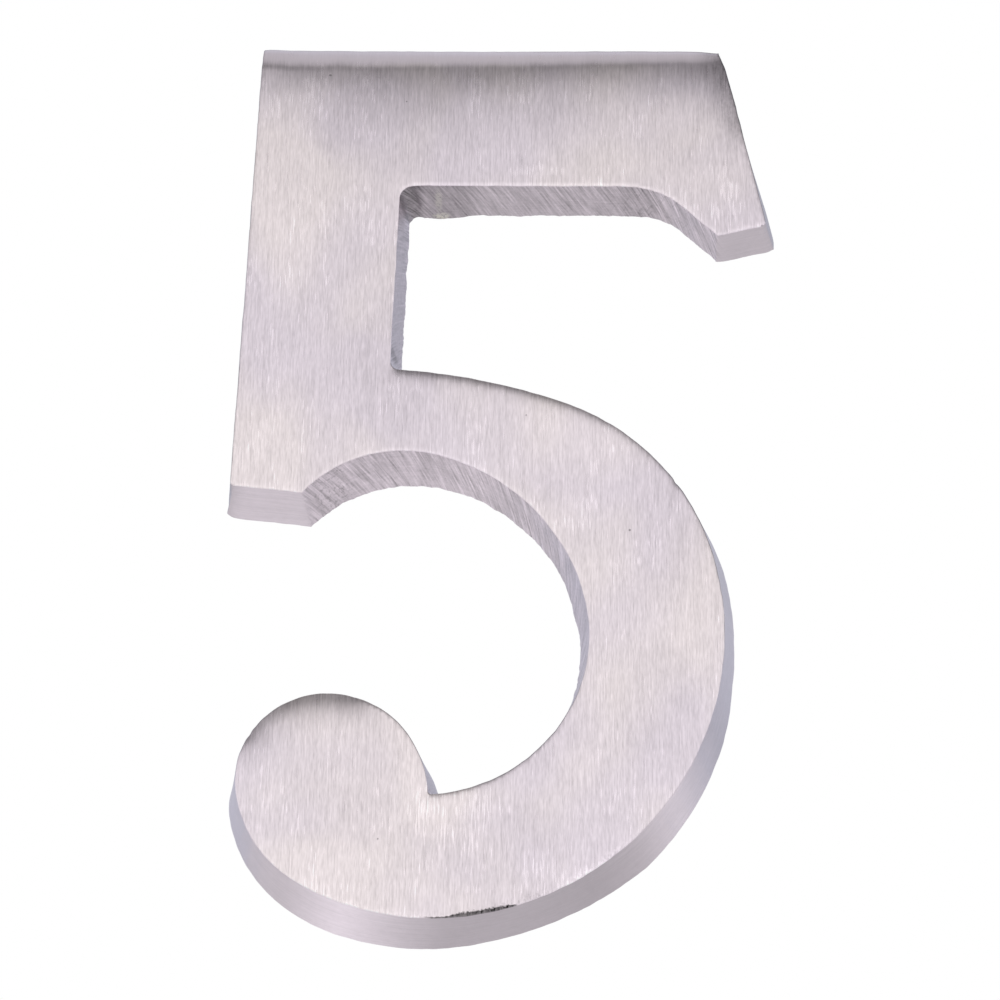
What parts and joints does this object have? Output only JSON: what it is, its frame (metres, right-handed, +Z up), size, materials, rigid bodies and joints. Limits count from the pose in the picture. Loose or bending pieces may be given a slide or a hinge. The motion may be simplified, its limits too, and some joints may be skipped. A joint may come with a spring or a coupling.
{
  "type": "house number",
  "caption": "Solid cast numeral with drafted walls, a brushed flat face and blind stud holes in its flat back, for fixing to a door or wall.",
  "frame": {"origin": "on the flat back, midway between the two stud holes", "axes": "+X right and +Z up as the numeral is read, +Y from the face into the wall it is fixed to"},
  "size_m": [0.0455, 0.0053, 0.0759],
  "materials": {
    "satin_nickel": "brushed upright on the face, filed and cast walls"
  },
  "bodies": {
    "root": {"numeral": "satin_nickel"}
  },
  "joints": []
}
